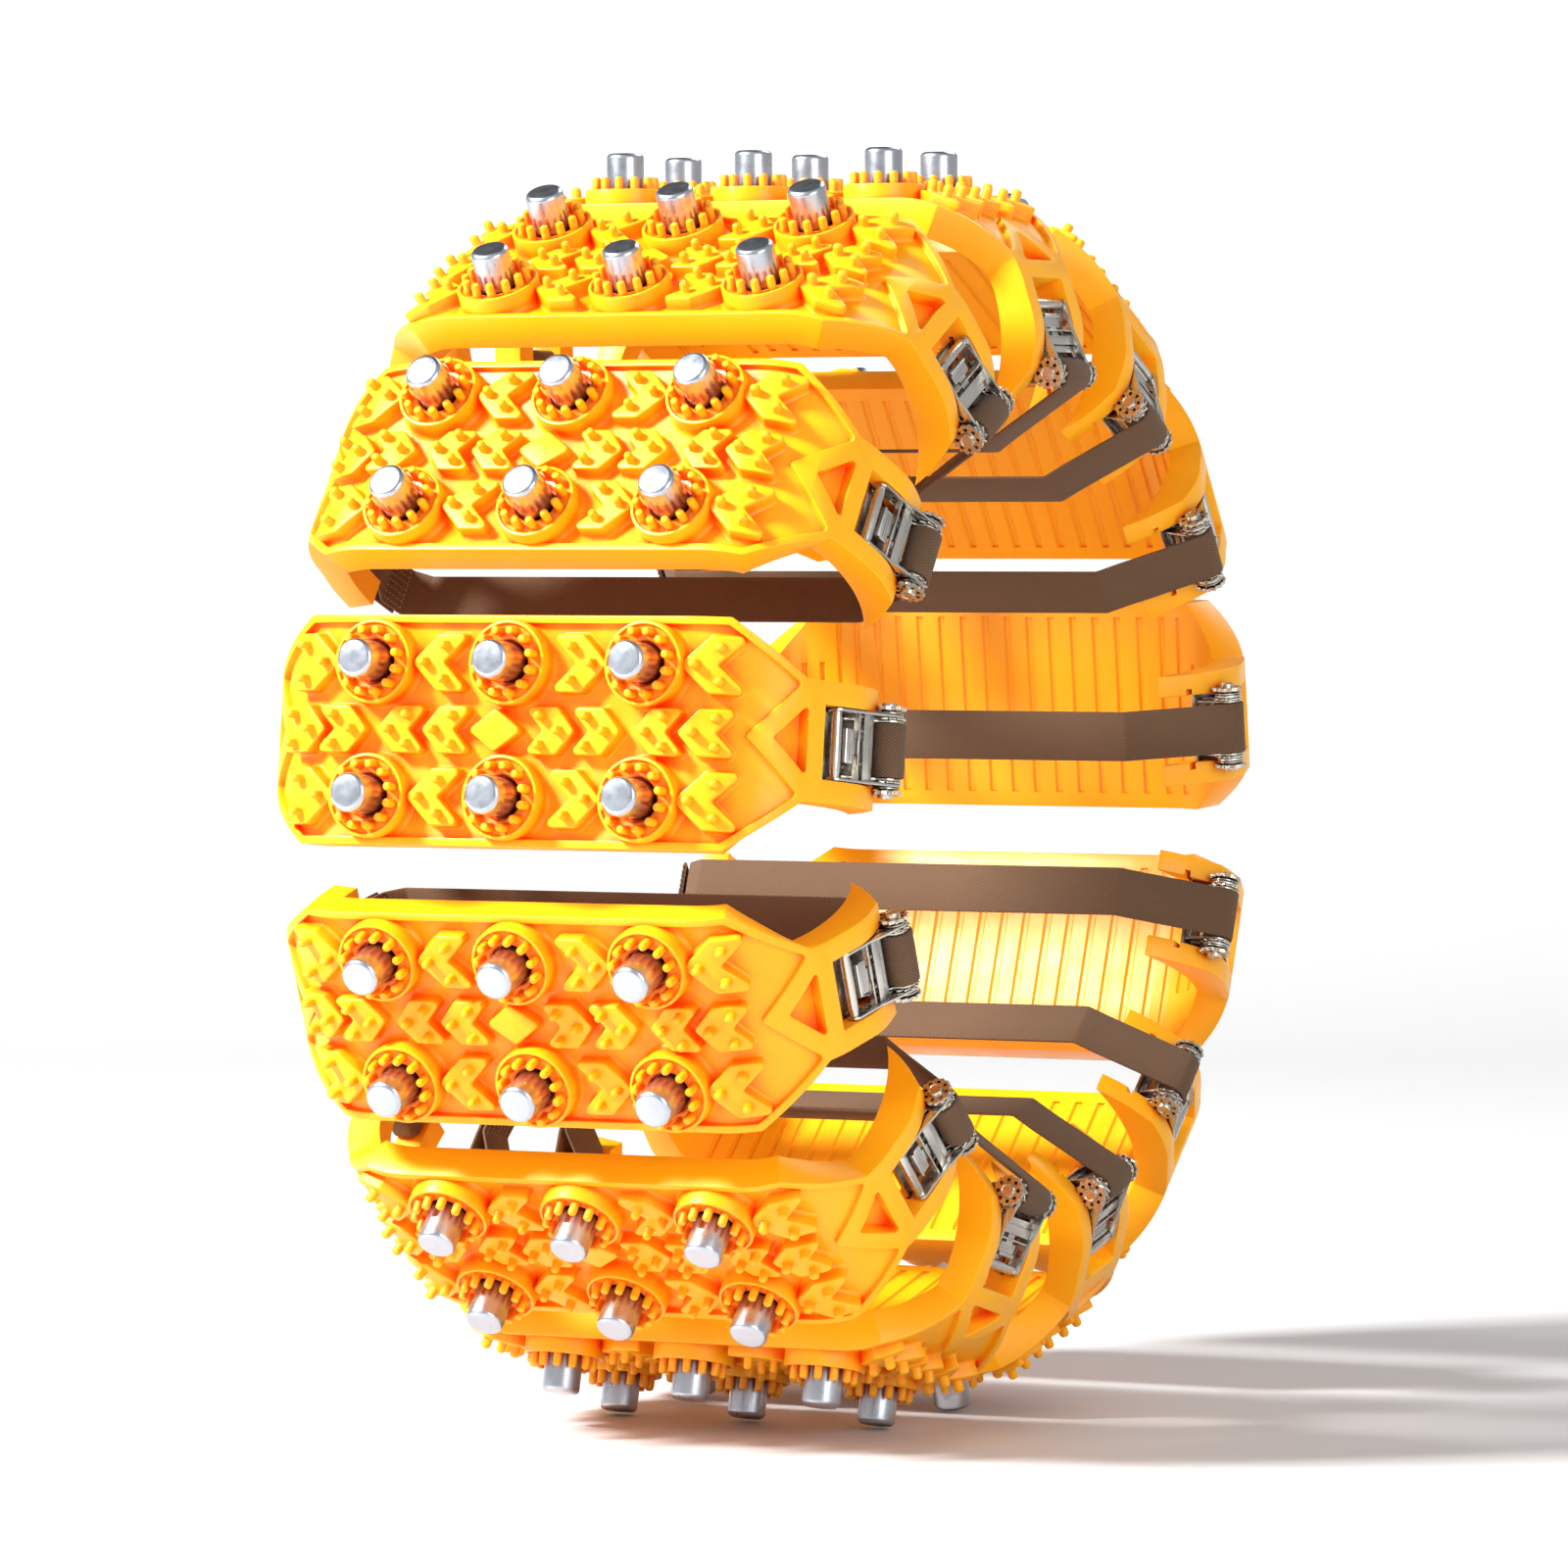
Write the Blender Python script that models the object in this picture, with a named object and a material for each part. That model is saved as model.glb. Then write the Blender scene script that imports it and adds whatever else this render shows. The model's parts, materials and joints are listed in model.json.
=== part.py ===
"""Tire snow chains: a full ring of thirteen strap-on traction units for one wide 18-inch tyre.

Each unit is a moulded elastomer pad with six steel studs, a webbing strap that passes
through the wheel, and a steel ratchet buckle that tightens the strap. Metres, +Z up.
The wheel's axle is the X axis, +X points away from the car, and the origin is the
wheel's centre, halfway along the pads.

Unit 01 has its spool and both pawls as pieces of their own. On the other twelve units
they are joined to the buckle's frame or to its handle.

A unit is modelled standing on top of the wheel: X along the axle, Y along the tread,
Z outwards from the axle. Its empty then turns it to its place on the ring.
"""

from math import cos, pi, radians, sin

import bmesh
import bpy
from mathutils import Vector

MM = 0.001

# The ring
UNIT_COUNT = 13
FIRST_UNIT_ANGLE = radians(6.5)  # of unit 01, from -Y towards +Z

# The pad's path over the tyre: flat, then a tight shoulder bend, then a wide sidewall bend
TYRE_RADIUS = 320 * MM
SEAT_HALF_WIDTH = 105 * MM
SHOULDER_RADIUS = 50 * MM
SHOULDER_TURN = radians(75)
SIDEWALL_RADIUS = 100 * MM

# The pad
PAD_HALF_LENGTH = 64 * MM
ARM_HALF_LENGTH = 33.5 * MM
PAD_THICKNESS = 20 * MM
ARM_THICKNESS = 22 * MM
EDGE_CHAMFER = 2 * MM
TAPER_START = radians(22)
TAPER_END = radians(59)
FORK_HALF_GAP = 20.5 * MM
FORK_ROOT_HEIGHT = 290 * MM
GROOVE_HALF_LENGTH = 24.5 * MM
SLING_WINDOW = (251.5 * MM, 284 * MM)
SLING_RECESS_X = 161 * MM
SLING_HALF_LENGTH = 17 * MM

# The studs, which stand in the pad in two rows of three
STUD_RADIUS = 11 * MM
STUD_TIP_HEIGHT = 370 * MM
STUD_COLUMNS = (-84.1 * MM, 0.0, 84.1 * MM)
STUD_ROWS = (-37.2 * MM, 37.2 * MM)
STUD_SIDES = 8

# The strap
STRAP_HALF_LENGTH = 15 * MM
STRAP_THICKNESS = 2 * MM
ROLL_RADIUS = 9 * MM
ROLL_PITCH = 2.4 * MM
ROLL_SIDES = 8
ROLL_STEPS = 11

# The ratchet buckle, whose spool axis lies along Y
SPOOL_X = 182 * MM
SPOOL_Z = 239 * MM
AXLE_RADIUS = 4.2 * MM
WHEEL_RADIUS = 9.5 * MM
CAP_RADIUS = 6 * MM
AXLE_END = 26.5 * MM
CAP_START = 20.3 * MM
EAR_SPAN = (15.5 * MM, 16.6 * MM)
EAR_RADIUS = 8 * MM
WHEEL_SPAN = (16.9 * MM, 18.1 * MM)
HANDLE_SPAN = (18.4 * MM, 19.9 * MM)
AXLE_BORE = 4.6 * MM
BASE_PLATE_X = (161.3 * MM, 163.3 * MM)
BASE_PLATE_Z = (233 * MM, 281 * MM)
BASE_PLATE_HALF_LENGTH = 24 * MM
SHAFT_SIDES = 8
RUNNING_GAP = 0.3 * MM

# The pawls, two flat sliders whose fingers catch the ratchet wheels
PAWL_HALF_THICKNESS = 0.75 * MM
PAWL_TIP = WHEEL_RADIUS + RUNNING_GAP
LOCK_PAWL_BACK = 16.5 * MM
LOCK_PAWL_FRONT = 10.6 * MM
DRIVE_PAWL_FRONT = 12.8 * MM
DRIVE_PAWL_BACK = 20 * MM
DRIVE_PULL = (27.6 * MM, 36.5 * MM)
DRIVE_NECK_HALF_LENGTH = 4 * MM
DRIVE_PULL_HALF_LENGTH = 9.5 * MM

# The ratchet handle, in its own frame: the spool axis at the origin, Z towards the grip
HANDLE_TILT = radians(-16.7)
GRIP_DISTANCE = 42 * MM
GRIP_RADIUS = 3 * MM
HUB_RADIUS = 8 * MM
WEB_X = (1.4 * MM, 2.6 * MM)
WEB_Z = (17 * MM, 22.4 * MM)

MATERIALS = {
    "elastomer": ((1.0, 0.42, 0.01), 0.38, 0.0),
    "webbing": ((0.17, 0.105, 0.065), 0.9, 0.0),
    "zinc_steel": ((0.66, 0.62, 0.55), 0.3, 1.0),
    "handle_steel": ((0.72, 0.70, 0.66), 0.28, 1.0),
    "pawl_steel": ((0.60, 0.60, 0.60), 0.35, 1.0),
}


def clear_scene():
    for item in list(bpy.data.objects):
        bpy.data.objects.remove(item, do_unlink=True)


def make_materials():
    made = {}
    for name, (colour, roughness, metallic) in MATERIALS.items():
        material = bpy.data.materials.new(name)
        material.use_nodes = True
        shader = material.node_tree.nodes["Principled BSDF"]
        shader.inputs["Base Color"].default_value = (*colour, 1.0)
        shader.inputs["Roughness"].default_value = roughness
        shader.inputs["Metallic"].default_value = metallic
        made[name] = material
    return made


# ---------------------------------------------------------------- mesh helpers


def finish_mesh(name, shape):
    """Write a bmesh to a mesh, faces outward."""
    bmesh.ops.recalc_face_normals(shape, faces=shape.faces)
    mesh = bpy.data.meshes.new(name)
    shape.to_mesh(mesh)
    shape.free()
    return mesh


def prism(name, outline, y_start, y_end):
    """A flat outline of (x, z) points, extruded along Y."""
    shape = bmesh.new()
    corners = [shape.verts.new((x, y_start, z)) for x, z in outline]
    face = shape.faces.new(corners)
    grown = bmesh.ops.extrude_face_region(shape, geom=[face])
    moved = [item for item in grown["geom"] if isinstance(item, bmesh.types.BMVert)]
    bmesh.ops.translate(shape, verts=moved, vec=(0, y_end - y_start, 0))
    return finish_mesh(name, shape)


def block(name, x_span, y_span, z_span):
    """A box between three pairs of limits."""
    outline = [
        (x_span[0], z_span[0]),
        (x_span[1], z_span[0]),
        (x_span[1], z_span[1]),
        (x_span[0], z_span[1]),
    ]
    return prism(name, outline, *y_span)


def turned(name, profile, centre, sides, axis):
    """A closed profile of (distance along the axis, radius) points, turned about the axis."""
    across = Vector((1, 0, 0))
    third = axis.cross(across)
    shape = bmesh.new()
    rings = []
    for distance, radius in profile:
        ring = []
        for step in range(sides):
            angle = 2 * pi * (step + 0.5) / sides
            spoke = across * (radius * cos(angle)) + third * (radius * sin(angle))
            ring.append(shape.verts.new(centre + axis * distance + spoke))
        rings.append(ring)
    for lower, upper in zip(rings, rings[1:]):
        for step in range(sides):
            after = (step + 1) % sides
            shape.faces.new((lower[step], lower[after], upper[after], upper[step]))
    shape.faces.new(rings[0])
    shape.faces.new(rings[-1])
    return finish_mesh(name, shape)


def combine(mesh, others, operation):
    """Apply exact Booleans of the other meshes to a mesh, one after the other."""
    holder = bpy.data.objects.new("combine", mesh)
    bpy.context.collection.objects.link(holder)
    tools = []
    for other in others:
        tool = bpy.data.objects.new("tool", other)
        bpy.context.collection.objects.link(tool)
        tools.append(tool)
        modifier = holder.modifiers.new("combine", "BOOLEAN")
        modifier.operation = operation
        modifier.solver = "EXACT"
        modifier.object = tool
    bpy.context.view_layer.update()
    graph = bpy.context.evaluated_depsgraph_get()
    result = bpy.data.meshes.new_from_object(holder.evaluated_get(graph))
    result.name = mesh.name
    for item in [holder, *tools]:
        bpy.data.objects.remove(item, do_unlink=True)
    return result


# ---------------------------------------------------------------- the pad


def tyre_point(turn, offset):
    """The (x, z) point on the outboard shoulder or sidewall where the path has turned by turn."""
    bend = min(turn, SHOULDER_TURN)
    x = SEAT_HALF_WIDTH + SHOULDER_RADIUS * sin(bend)
    z = TYRE_RADIUS - SHOULDER_RADIUS * (1 - cos(bend))
    if turn > SHOULDER_TURN:
        x += SIDEWALL_RADIUS * (sin(turn) - sin(SHOULDER_TURN))
        z += SIDEWALL_RADIUS * (cos(turn) - cos(SHOULDER_TURN))
    return x + offset * sin(turn), z + offset * cos(turn)


def half_length_at(turn):
    """Half of the pad's length along the tread, which tapers over the shoulder to the arms."""
    share = (turn - TAPER_START) / (TAPER_END - TAPER_START)
    share = min(max(share, 0.0), 1.0)
    return PAD_HALF_LENGTH + share * (ARM_HALF_LENGTH - PAD_HALF_LENGTH)


def pad_station(side, inner_turn, outer_turn, thickness):
    """One six-sided cross-section of the pad, chamfered along its outer edges."""
    half = half_length_at(inner_turn)
    low_x, low_z = tyre_point(inner_turn, 0)
    shoulder_x, shoulder_z = tyre_point(outer_turn, thickness - EDGE_CHAMFER)
    high_x, high_z = tyre_point(outer_turn, thickness)
    top = half - EDGE_CHAMFER
    return [
        (side * low_x, -half, low_z),
        (side * low_x, half, low_z),
        (side * shoulder_x, half, shoulder_z),
        (side * high_x, top, high_z),
        (side * high_x, -top, high_z),
        (side * shoulder_x, -half, shoulder_z),
    ]


def pad_mesh():
    """The flat tread plate, both shoulders, the outboard fork and the inboard sling window."""
    shared = [(0, 0), (22, 22), (40, 40), (59, 59), (75, 75)]
    fork_end = [(90, 86), (115, 97)]
    sling_end = [(88, 88), (101, 101)]
    stations = []
    for inner, outer in reversed(shared + sling_end):
        thickness = PAD_THICKNESS if inner <= 75 else PAD_THICKNESS - 3 * MM
        stations.append(pad_station(-1, radians(inner), radians(outer), thickness))
    for inner, outer in shared + fork_end:
        thickness = PAD_THICKNESS if inner <= 75 or inner > 102 else ARM_THICKNESS
        stations.append(pad_station(1, radians(inner), radians(outer), thickness))

    shape = bmesh.new()
    rings = [[shape.verts.new(point) for point in station] for station in stations]
    for left, right in zip(rings, rings[1:]):
        for index in range(len(left)):
            after = (index + 1) % len(left)
            shape.faces.new((left[index], right[index], right[after], left[after]))
    shape.faces.new(rings[0])
    shape.faces.new(rings[-1])
    plate = finish_mesh("pad", shape)

    studs = []
    for x in STUD_COLUMNS:
        for y in STUD_ROWS:
            profile = [(TYRE_RADIUS + 10 * MM, STUD_RADIUS), (STUD_TIP_HEIGHT, STUD_RADIUS)]
            up = Vector((0, 0, 1))
            studs.append(turned("stud", profile, Vector((x, y, 0)), STUD_SIDES, up))
    studded = combine(plate, studs, "UNION")

    fork_x = (130 * MM, 200 * MM)
    fork_z = (180 * MM, FORK_ROOT_HEIGHT)
    groove_x = (BASE_PLATE_X[0] - 0.3 * MM, BASE_PLATE_X[1] + 0.3 * MM)
    groove_z = (180 * MM, BASE_PLATE_Z[1] + 0.5 * MM)
    recess_z = (200 * MM, SLING_WINDOW[0] + 10 * MM)
    cutters = [
        block("fork", fork_x, (-FORK_HALF_GAP, FORK_HALF_GAP), fork_z),
        block("groove", groove_x, (-GROOVE_HALF_LENGTH, GROOVE_HALF_LENGTH), groove_z),
        block("window", (-200 * MM, -130 * MM), (-SLING_HALF_LENGTH, SLING_HALF_LENGTH), SLING_WINDOW),
        block("recess", (-SLING_RECESS_X, -130 * MM), (-SLING_HALF_LENGTH, SLING_HALF_LENGTH), recess_z),
    ]
    return combine(studded, cutters, "DIFFERENCE")


# ---------------------------------------------------------------- the strap


def strap_path():
    """The webbing's centre line as (x, z) points, from its sewn tail to the spool."""
    sling = [
        (-165.5, 200.0),
        (-170.0, 214.0),
        (-175.2, 231.0),
        (-175.2, 251.5),
        (-172.0, 255.6),
        (-162.6, 255.6),
        (-159.5, 251.5),
        (-159.5, 236.0),
        (-166.8, 213.0),
    ]
    inboard = [(-161.5, 203.0), (-152.0, 196.5), (-140.0, 195.0)]
    outboard = [(126.0, 195.0), (134.0, 196.5), (141.0, 201.0)]
    path = [(x * MM, z * MM) for x, z in sling + inboard + outboard]
    pull_x, pull_z = path[-1]
    across, up = SPOOL_X - pull_x, SPOOL_Z - pull_z
    start = -pi / 2 + (up / across) * 0.72
    for step in range(ROLL_STEPS + 1):
        angle = start + 2 * pi * step / ROLL_SIDES
        radius = ROLL_RADIUS - ROLL_PITCH * step / ROLL_SIDES
        path.append((SPOOL_X + radius * cos(angle), SPOOL_Z + radius * sin(angle)))
    return path


def band_outline(path, thickness):
    """The outline of a band of even thickness along a path, with mitred corners."""
    left, right = [], []
    points = [Vector(point) for point in path]
    for index, point in enumerate(points):
        before = points[max(index - 1, 0)]
        after = points[min(index + 1, len(points) - 1)]
        incoming = (point - before).normalized() if index else (after - point).normalized()
        outgoing = (after - point).normalized() if after != point else incoming
        normal_in = Vector((-incoming.y, incoming.x))
        normal_out = Vector((-outgoing.y, outgoing.x))
        mitre = (normal_in + normal_out).normalized()
        reach = thickness / 2 / max(mitre.dot(normal_in), 0.5)
        left.append(tuple(point + mitre * reach))
        right.append(tuple(point - mitre * reach))
    return left + right[::-1]


def strap_mesh():
    """The webbing strap: sewn sling, run through the wheel, and the turns wound on the spool."""
    outline = band_outline(strap_path(), STRAP_THICKNESS)
    return prism("strap", outline, -STRAP_HALF_LENGTH, STRAP_HALF_LENGTH)


# ---------------------------------------------------------------- the ratchet buckle


def spool_mesh():
    """The spool: the axle, a ratchet wheel beside each ear and a cap at each end."""
    half = [
        (AXLE_END, CAP_RADIUS),
        (CAP_START, CAP_RADIUS),
        (CAP_START, AXLE_RADIUS),
        (WHEEL_SPAN[1], AXLE_RADIUS),
        (WHEEL_SPAN[1], WHEEL_RADIUS),
        (WHEEL_SPAN[0], WHEEL_RADIUS),
        (WHEEL_SPAN[0], AXLE_RADIUS),
    ]
    profile = [(-y, radius) for y, radius in half] + half[::-1]
    centre = Vector((SPOOL_X, 0, SPOOL_Z))
    return turned("spool", profile, centre, SHAFT_SIDES, Vector((0, 1, 0)))


def bore_mesh(centre):
    """A cutter for the axle's running hole."""
    ends = [(-30 * MM, AXLE_BORE), (30 * MM, AXLE_BORE)]
    return turned("bore", ends, centre, SHAFT_SIDES, Vector((0, 1, 0)))


def lock_pawl_mesh():
    """The slider in the buckle's frame that stops the spool from turning back."""
    span_y = (-WHEEL_SPAN[1], WHEEL_SPAN[1])
    span_z = (SPOOL_Z - PAWL_HALF_THICKNESS, SPOOL_Z + PAWL_HALF_THICKNESS)
    body_x = (SPOOL_X - LOCK_PAWL_BACK, SPOOL_X - LOCK_PAWL_FRONT)
    finger_x = (SPOOL_X - LOCK_PAWL_FRONT - MM, SPOOL_X - PAWL_TIP)
    fingers = []
    for side in (-1, 1):
        finger_y = sorted((side * WHEEL_SPAN[0], side * WHEEL_SPAN[1]))
        fingers.append(block("finger", finger_x, finger_y, span_z))
    return combine(block("lock_pawl", body_x, span_y, span_z), fingers, "UNION")


def base_mesh(separate):
    """The buckle's frame: anchor plate and two ears, bored and slotted or with spool and pawl."""
    plate_y = (-BASE_PLATE_HALF_LENGTH, BASE_PLATE_HALF_LENGTH)
    plate = block("ratchet_base", BASE_PLATE_X, plate_y, BASE_PLATE_Z)
    foot = BASE_PLATE_X[0] + 0.5 * MM
    ear = [(foot, BASE_PLATE_Z[0] + 2 * MM), (SPOOL_X - 2 * MM, SPOOL_Z - EAR_RADIUS)]
    for degrees in (-45, 0, 45):
        angle = radians(degrees)
        ear.append((SPOOL_X + EAR_RADIUS * cos(angle), SPOOL_Z + EAR_RADIUS * sin(angle)))
    ear += [(SPOOL_X - 2 * MM, SPOOL_Z + EAR_RADIUS), (foot, BASE_PLATE_Z[0] + 30 * MM)]
    reach = EAR_SPAN[1] if separate else WHEEL_SPAN[0]
    ears = [prism("ear", ear, side * EAR_SPAN[0], side * reach) for side in (-1, 1)]
    if not separate:
        return combine(plate, [*ears, spool_mesh(), lock_pawl_mesh()], "UNION")
    frame = combine(plate, ears, "UNION")
    slot_x = (SPOOL_X - LOCK_PAWL_BACK - 2 * MM, SPOOL_X - LOCK_PAWL_FRONT + RUNNING_GAP)
    slot_y = (-WHEEL_SPAN[0], WHEEL_SPAN[0])
    half_slot = PAWL_HALF_THICKNESS + RUNNING_GAP
    slot = block("slot", slot_x, slot_y, (SPOOL_Z - half_slot, SPOOL_Z + half_slot))
    return combine(frame, [bore_mesh(Vector((SPOOL_X, 0, SPOOL_Z))), slot], "DIFFERENCE")


def drive_pawl_mesh(half_length):
    """The slider in the handle that turns the spool, with its finger pull near the grip."""
    span_x = (-PAWL_HALF_THICKNESS, PAWL_HALF_THICKNESS)
    neck_y = (-DRIVE_NECK_HALF_LENGTH, DRIVE_NECK_HALF_LENGTH)
    neck_z = (DRIVE_PAWL_BACK - MM, DRIVE_PULL[0] + MM)
    pull_y = (-DRIVE_PULL_HALF_LENGTH, DRIVE_PULL_HALF_LENGTH)
    parts = [block("neck", span_x, neck_y, neck_z), block("pull", span_x, pull_y, DRIVE_PULL)]
    for side in (-1, 1):
        finger_y = sorted((side * WHEEL_SPAN[0], side * WHEEL_SPAN[1]))
        parts.append(block("finger", span_x, finger_y, (PAWL_TIP, DRIVE_PAWL_FRONT + MM)))
    body = block("drive_pawl", span_x, (-half_length, half_length), (DRIVE_PAWL_FRONT, DRIVE_PAWL_BACK))
    return combine(body, parts, "UNION")


def handle_mesh(separate):
    """The ratchet handle: two side plates bored for the axle, a web and a grip bar."""
    outline = []
    for degrees in range(180, 361, 45):
        angle = radians(degrees)
        outline.append((HUB_RADIUS * cos(angle), HUB_RADIUS * sin(angle)))
    outline += [(4 * MM, GRIP_DISTANCE), (-4 * MM, GRIP_DISTANCE)]
    inner, outer = HANDLE_SPAN
    web_y = (-inner - MM, inner + MM)
    grip_ends = [(-outer - 0.2 * MM, GRIP_RADIUS), (outer + 0.2 * MM, GRIP_RADIUS)]
    pieces = [
        prism("side_plate", outline, -outer, -inner),
        block("web", WEB_X, web_y, WEB_Z),
        turned("grip", grip_ends, Vector((0, 0, GRIP_DISTANCE)), SHAFT_SIDES, Vector((0, 1, 0))),
    ]
    if not separate:
        pieces.append(drive_pawl_mesh(inner + MM))
    solid = combine(prism("ratchet_handle", outline, inner, outer), pieces, "UNION")
    return combine(solid, [bore_mesh(Vector((0, 0, 0)))], "DIFFERENCE")


# ---------------------------------------------------------------- the ring


def place(name, mesh, material, parent):
    """Make one named object with its material under its unit's empty."""
    item = bpy.data.objects.new(name, mesh)
    bpy.context.collection.objects.link(item)
    item.parent = parent
    if not mesh.materials:
        mesh.materials.append(material)
    return item


def build():
    clear_scene()
    materials = make_materials()
    pad = pad_mesh()
    strap = strap_mesh()
    base = base_mesh(separate=False)
    handle = handle_mesh(separate=False)
    spool_axis = Vector((SPOOL_X, 0, SPOOL_Z))
    for index in range(UNIT_COUNT):
        number = f"{index + 1:02d}"
        angle = FIRST_UNIT_ANGLE + 2 * pi * index / UNIT_COUNT
        unit = bpy.data.objects.new(f"unit_{number}", None)
        unit.rotation_euler = (pi / 2 - angle, 0, 0)
        bpy.context.collection.objects.link(unit)
        place(f"pad_{number}", pad, materials["elastomer"], unit)
        place(f"strap_{number}", strap, materials["webbing"], unit)
        first = index == 0
        frame = base_mesh(separate=True) if first else base
        grip = handle_mesh(separate=True) if first else handle
        place(f"ratchet_base_{number}", frame, materials["zinc_steel"], unit)
        levers = [place(f"ratchet_handle_{number}", grip, materials["handle_steel"], unit)]
        if first:
            place(f"spool_{number}", spool_mesh(), materials["zinc_steel"], unit)
            place(f"lock_pawl_{number}", lock_pawl_mesh(), materials["pawl_steel"], unit)
            pawl = drive_pawl_mesh(WHEEL_SPAN[1])
            levers.append(place(f"drive_pawl_{number}", pawl, materials["pawl_steel"], unit))
        for lever in levers:
            lever.location = spool_axis
            lever.rotation_euler = (0, HANDLE_TILT, 0)
    bpy.context.view_layer.update()


build()
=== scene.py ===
"""Looks of the tire snow chains: thirteen strap-on traction units round one wide tyre.

Every mesh is made once in the unit frame (X along the axle, Y along the tread, Z outwards
from the axle, the unit standing on top of the wheel) and shared by the thirteen units.
"""

import json
from math import atan2, cos, hypot, pi, radians, sin, tan

import bmesh
import bpy
from mathutils import Matrix, Vector

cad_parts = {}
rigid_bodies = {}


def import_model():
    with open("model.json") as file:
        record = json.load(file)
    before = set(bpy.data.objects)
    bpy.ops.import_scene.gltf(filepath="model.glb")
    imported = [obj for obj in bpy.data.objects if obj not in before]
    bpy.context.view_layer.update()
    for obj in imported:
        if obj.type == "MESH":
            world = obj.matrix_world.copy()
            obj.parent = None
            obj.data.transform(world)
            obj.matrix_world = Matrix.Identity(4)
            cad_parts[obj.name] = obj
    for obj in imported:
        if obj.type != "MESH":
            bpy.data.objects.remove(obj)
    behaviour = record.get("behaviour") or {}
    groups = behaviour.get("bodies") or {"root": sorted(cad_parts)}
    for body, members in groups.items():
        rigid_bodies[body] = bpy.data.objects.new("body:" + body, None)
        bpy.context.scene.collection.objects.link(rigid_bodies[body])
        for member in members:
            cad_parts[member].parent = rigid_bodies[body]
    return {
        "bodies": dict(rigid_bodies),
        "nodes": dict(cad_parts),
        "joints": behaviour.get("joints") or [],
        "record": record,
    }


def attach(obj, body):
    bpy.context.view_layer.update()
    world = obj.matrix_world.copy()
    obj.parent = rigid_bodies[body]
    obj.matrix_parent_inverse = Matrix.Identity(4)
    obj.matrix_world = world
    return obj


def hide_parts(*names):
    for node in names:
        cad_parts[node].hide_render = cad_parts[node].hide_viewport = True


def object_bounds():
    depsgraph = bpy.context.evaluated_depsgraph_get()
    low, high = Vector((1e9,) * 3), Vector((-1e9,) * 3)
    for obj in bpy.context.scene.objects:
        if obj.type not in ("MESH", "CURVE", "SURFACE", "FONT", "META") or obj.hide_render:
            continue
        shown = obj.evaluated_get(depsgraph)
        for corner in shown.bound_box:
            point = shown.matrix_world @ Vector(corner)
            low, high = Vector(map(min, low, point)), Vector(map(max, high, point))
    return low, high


MM = 0.001
SHARP = radians(38)  # edges sharper than this are not smoothed over
ROUNDED_FROM = radians(30)  # edges sharper than this are rounded
X_AXIS = Vector((1, 0, 0))
Y_AXIS = Vector((0, 1, 0))
Z_AXIS = Vector((0, 0, 1))

# ---------------------------------------------------------------- sizes

# The pad's path over the tyre
TYRE_RADIUS = 320 * MM
SEAT = 105 * MM
SHOULDER_RADIUS = 50 * MM
SHOULDER_TURN = radians(75)
SIDEWALL_RADIUS = 100 * MM
FIELD = 16 * MM  # thickness at the recessed field
RIM = 4 * MM  # height of the rim above the field
ARM_ROOT = SEAT + (SHOULDER_RADIUS + FIELD) * SHOULDER_TURN
FORK_ROOT = 185 * MM

# The pad's outline
PAD_HALF = 64 * MM
ARM_HALF = 33.5 * MM
FORK_HALF_GAP = 20.5 * MM
SLING_HALF = 17 * MM
TAPER_START = 130.3 * MM
TAPER_END = 173 * MM
ARM_TIP_LOW = 272.4 * MM
ARM_TIP_HIGH = 235.9 * MM
SLING_END = 244 * MM
SLING_WINDOW = (191.4 * MM, 228.2 * MM)
GROOVE = ((160.95 * MM, 163.65 * MM), (-24.5 * MM, 24.5 * MM), (180 * MM, 281.5 * MM))
BEND_STEP = 3.8 * MM

# The studs
STUD_COLUMNS = (-84.1, 0.0, 84.1)
STUD_ROWS = (-37.2, 37.2)
STUD_TIP = 370.0
STUD_RADIUS = 11.0

# The strap and the buckle
STRAP_HALF = 15.0
STRAP_THICKNESS = 2.0
ROLL_PITCH = 2.25
HANDLE_TILT = radians(-16.7)
DISC_TEETH = 14
DISC_HOLES = 8
WHEEL_TEETH = 12

# ---------------------------------------------------------------- mesh helpers


def new_mesh(name, shape, sharp=SHARP):
    """Close off a bmesh: faces outward, smooth but for its sharp edges."""
    bmesh.ops.recalc_face_normals(shape, faces=shape.faces)
    mesh = bpy.data.meshes.new(name)
    shape.to_mesh(mesh)
    shape.free()
    return shade(mesh, sharp)


def shade(mesh, sharp=SHARP):
    mesh.shade_smooth()
    mesh.set_sharp_from_angle(angle=sharp)
    return mesh


def join_rings(shape, rings):
    """Skin a row of closed rings of equal length and cap both ends."""
    for lower, upper in zip(rings, rings[1:]):
        for step in range(len(lower)):
            after = (step + 1) % len(lower)
            shape.faces.new((lower[step], lower[after], upper[after], upper[step]))
    shape.faces.new(rings[0])
    shape.faces.new(rings[-1])


def prism(outline, start, end, axis="Y"):
    """A flat outline extruded along one axis."""
    shape = bmesh.new()
    rings = []
    for along in (start, end):
        if axis == "X":
            points = [(along, a, b) for a, b in outline]
        elif axis == "Y":
            points = [(a, along, b) for a, b in outline]
        else:
            points = [(a, b, along) for a, b in outline]
        rings.append([shape.verts.new(point) for point in points])
    join_rings(shape, rings)
    return new_mesh("prism", shape)


def rectangle(low, high):
    return [(low[0], low[1]), (high[0], low[1]), (high[0], high[1]), (low[0], high[1])]


def block(x_span, y_span, z_span):
    outline = rectangle((x_span[0], z_span[0]), (x_span[1], z_span[1]))
    return prism(outline, *y_span)


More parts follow.
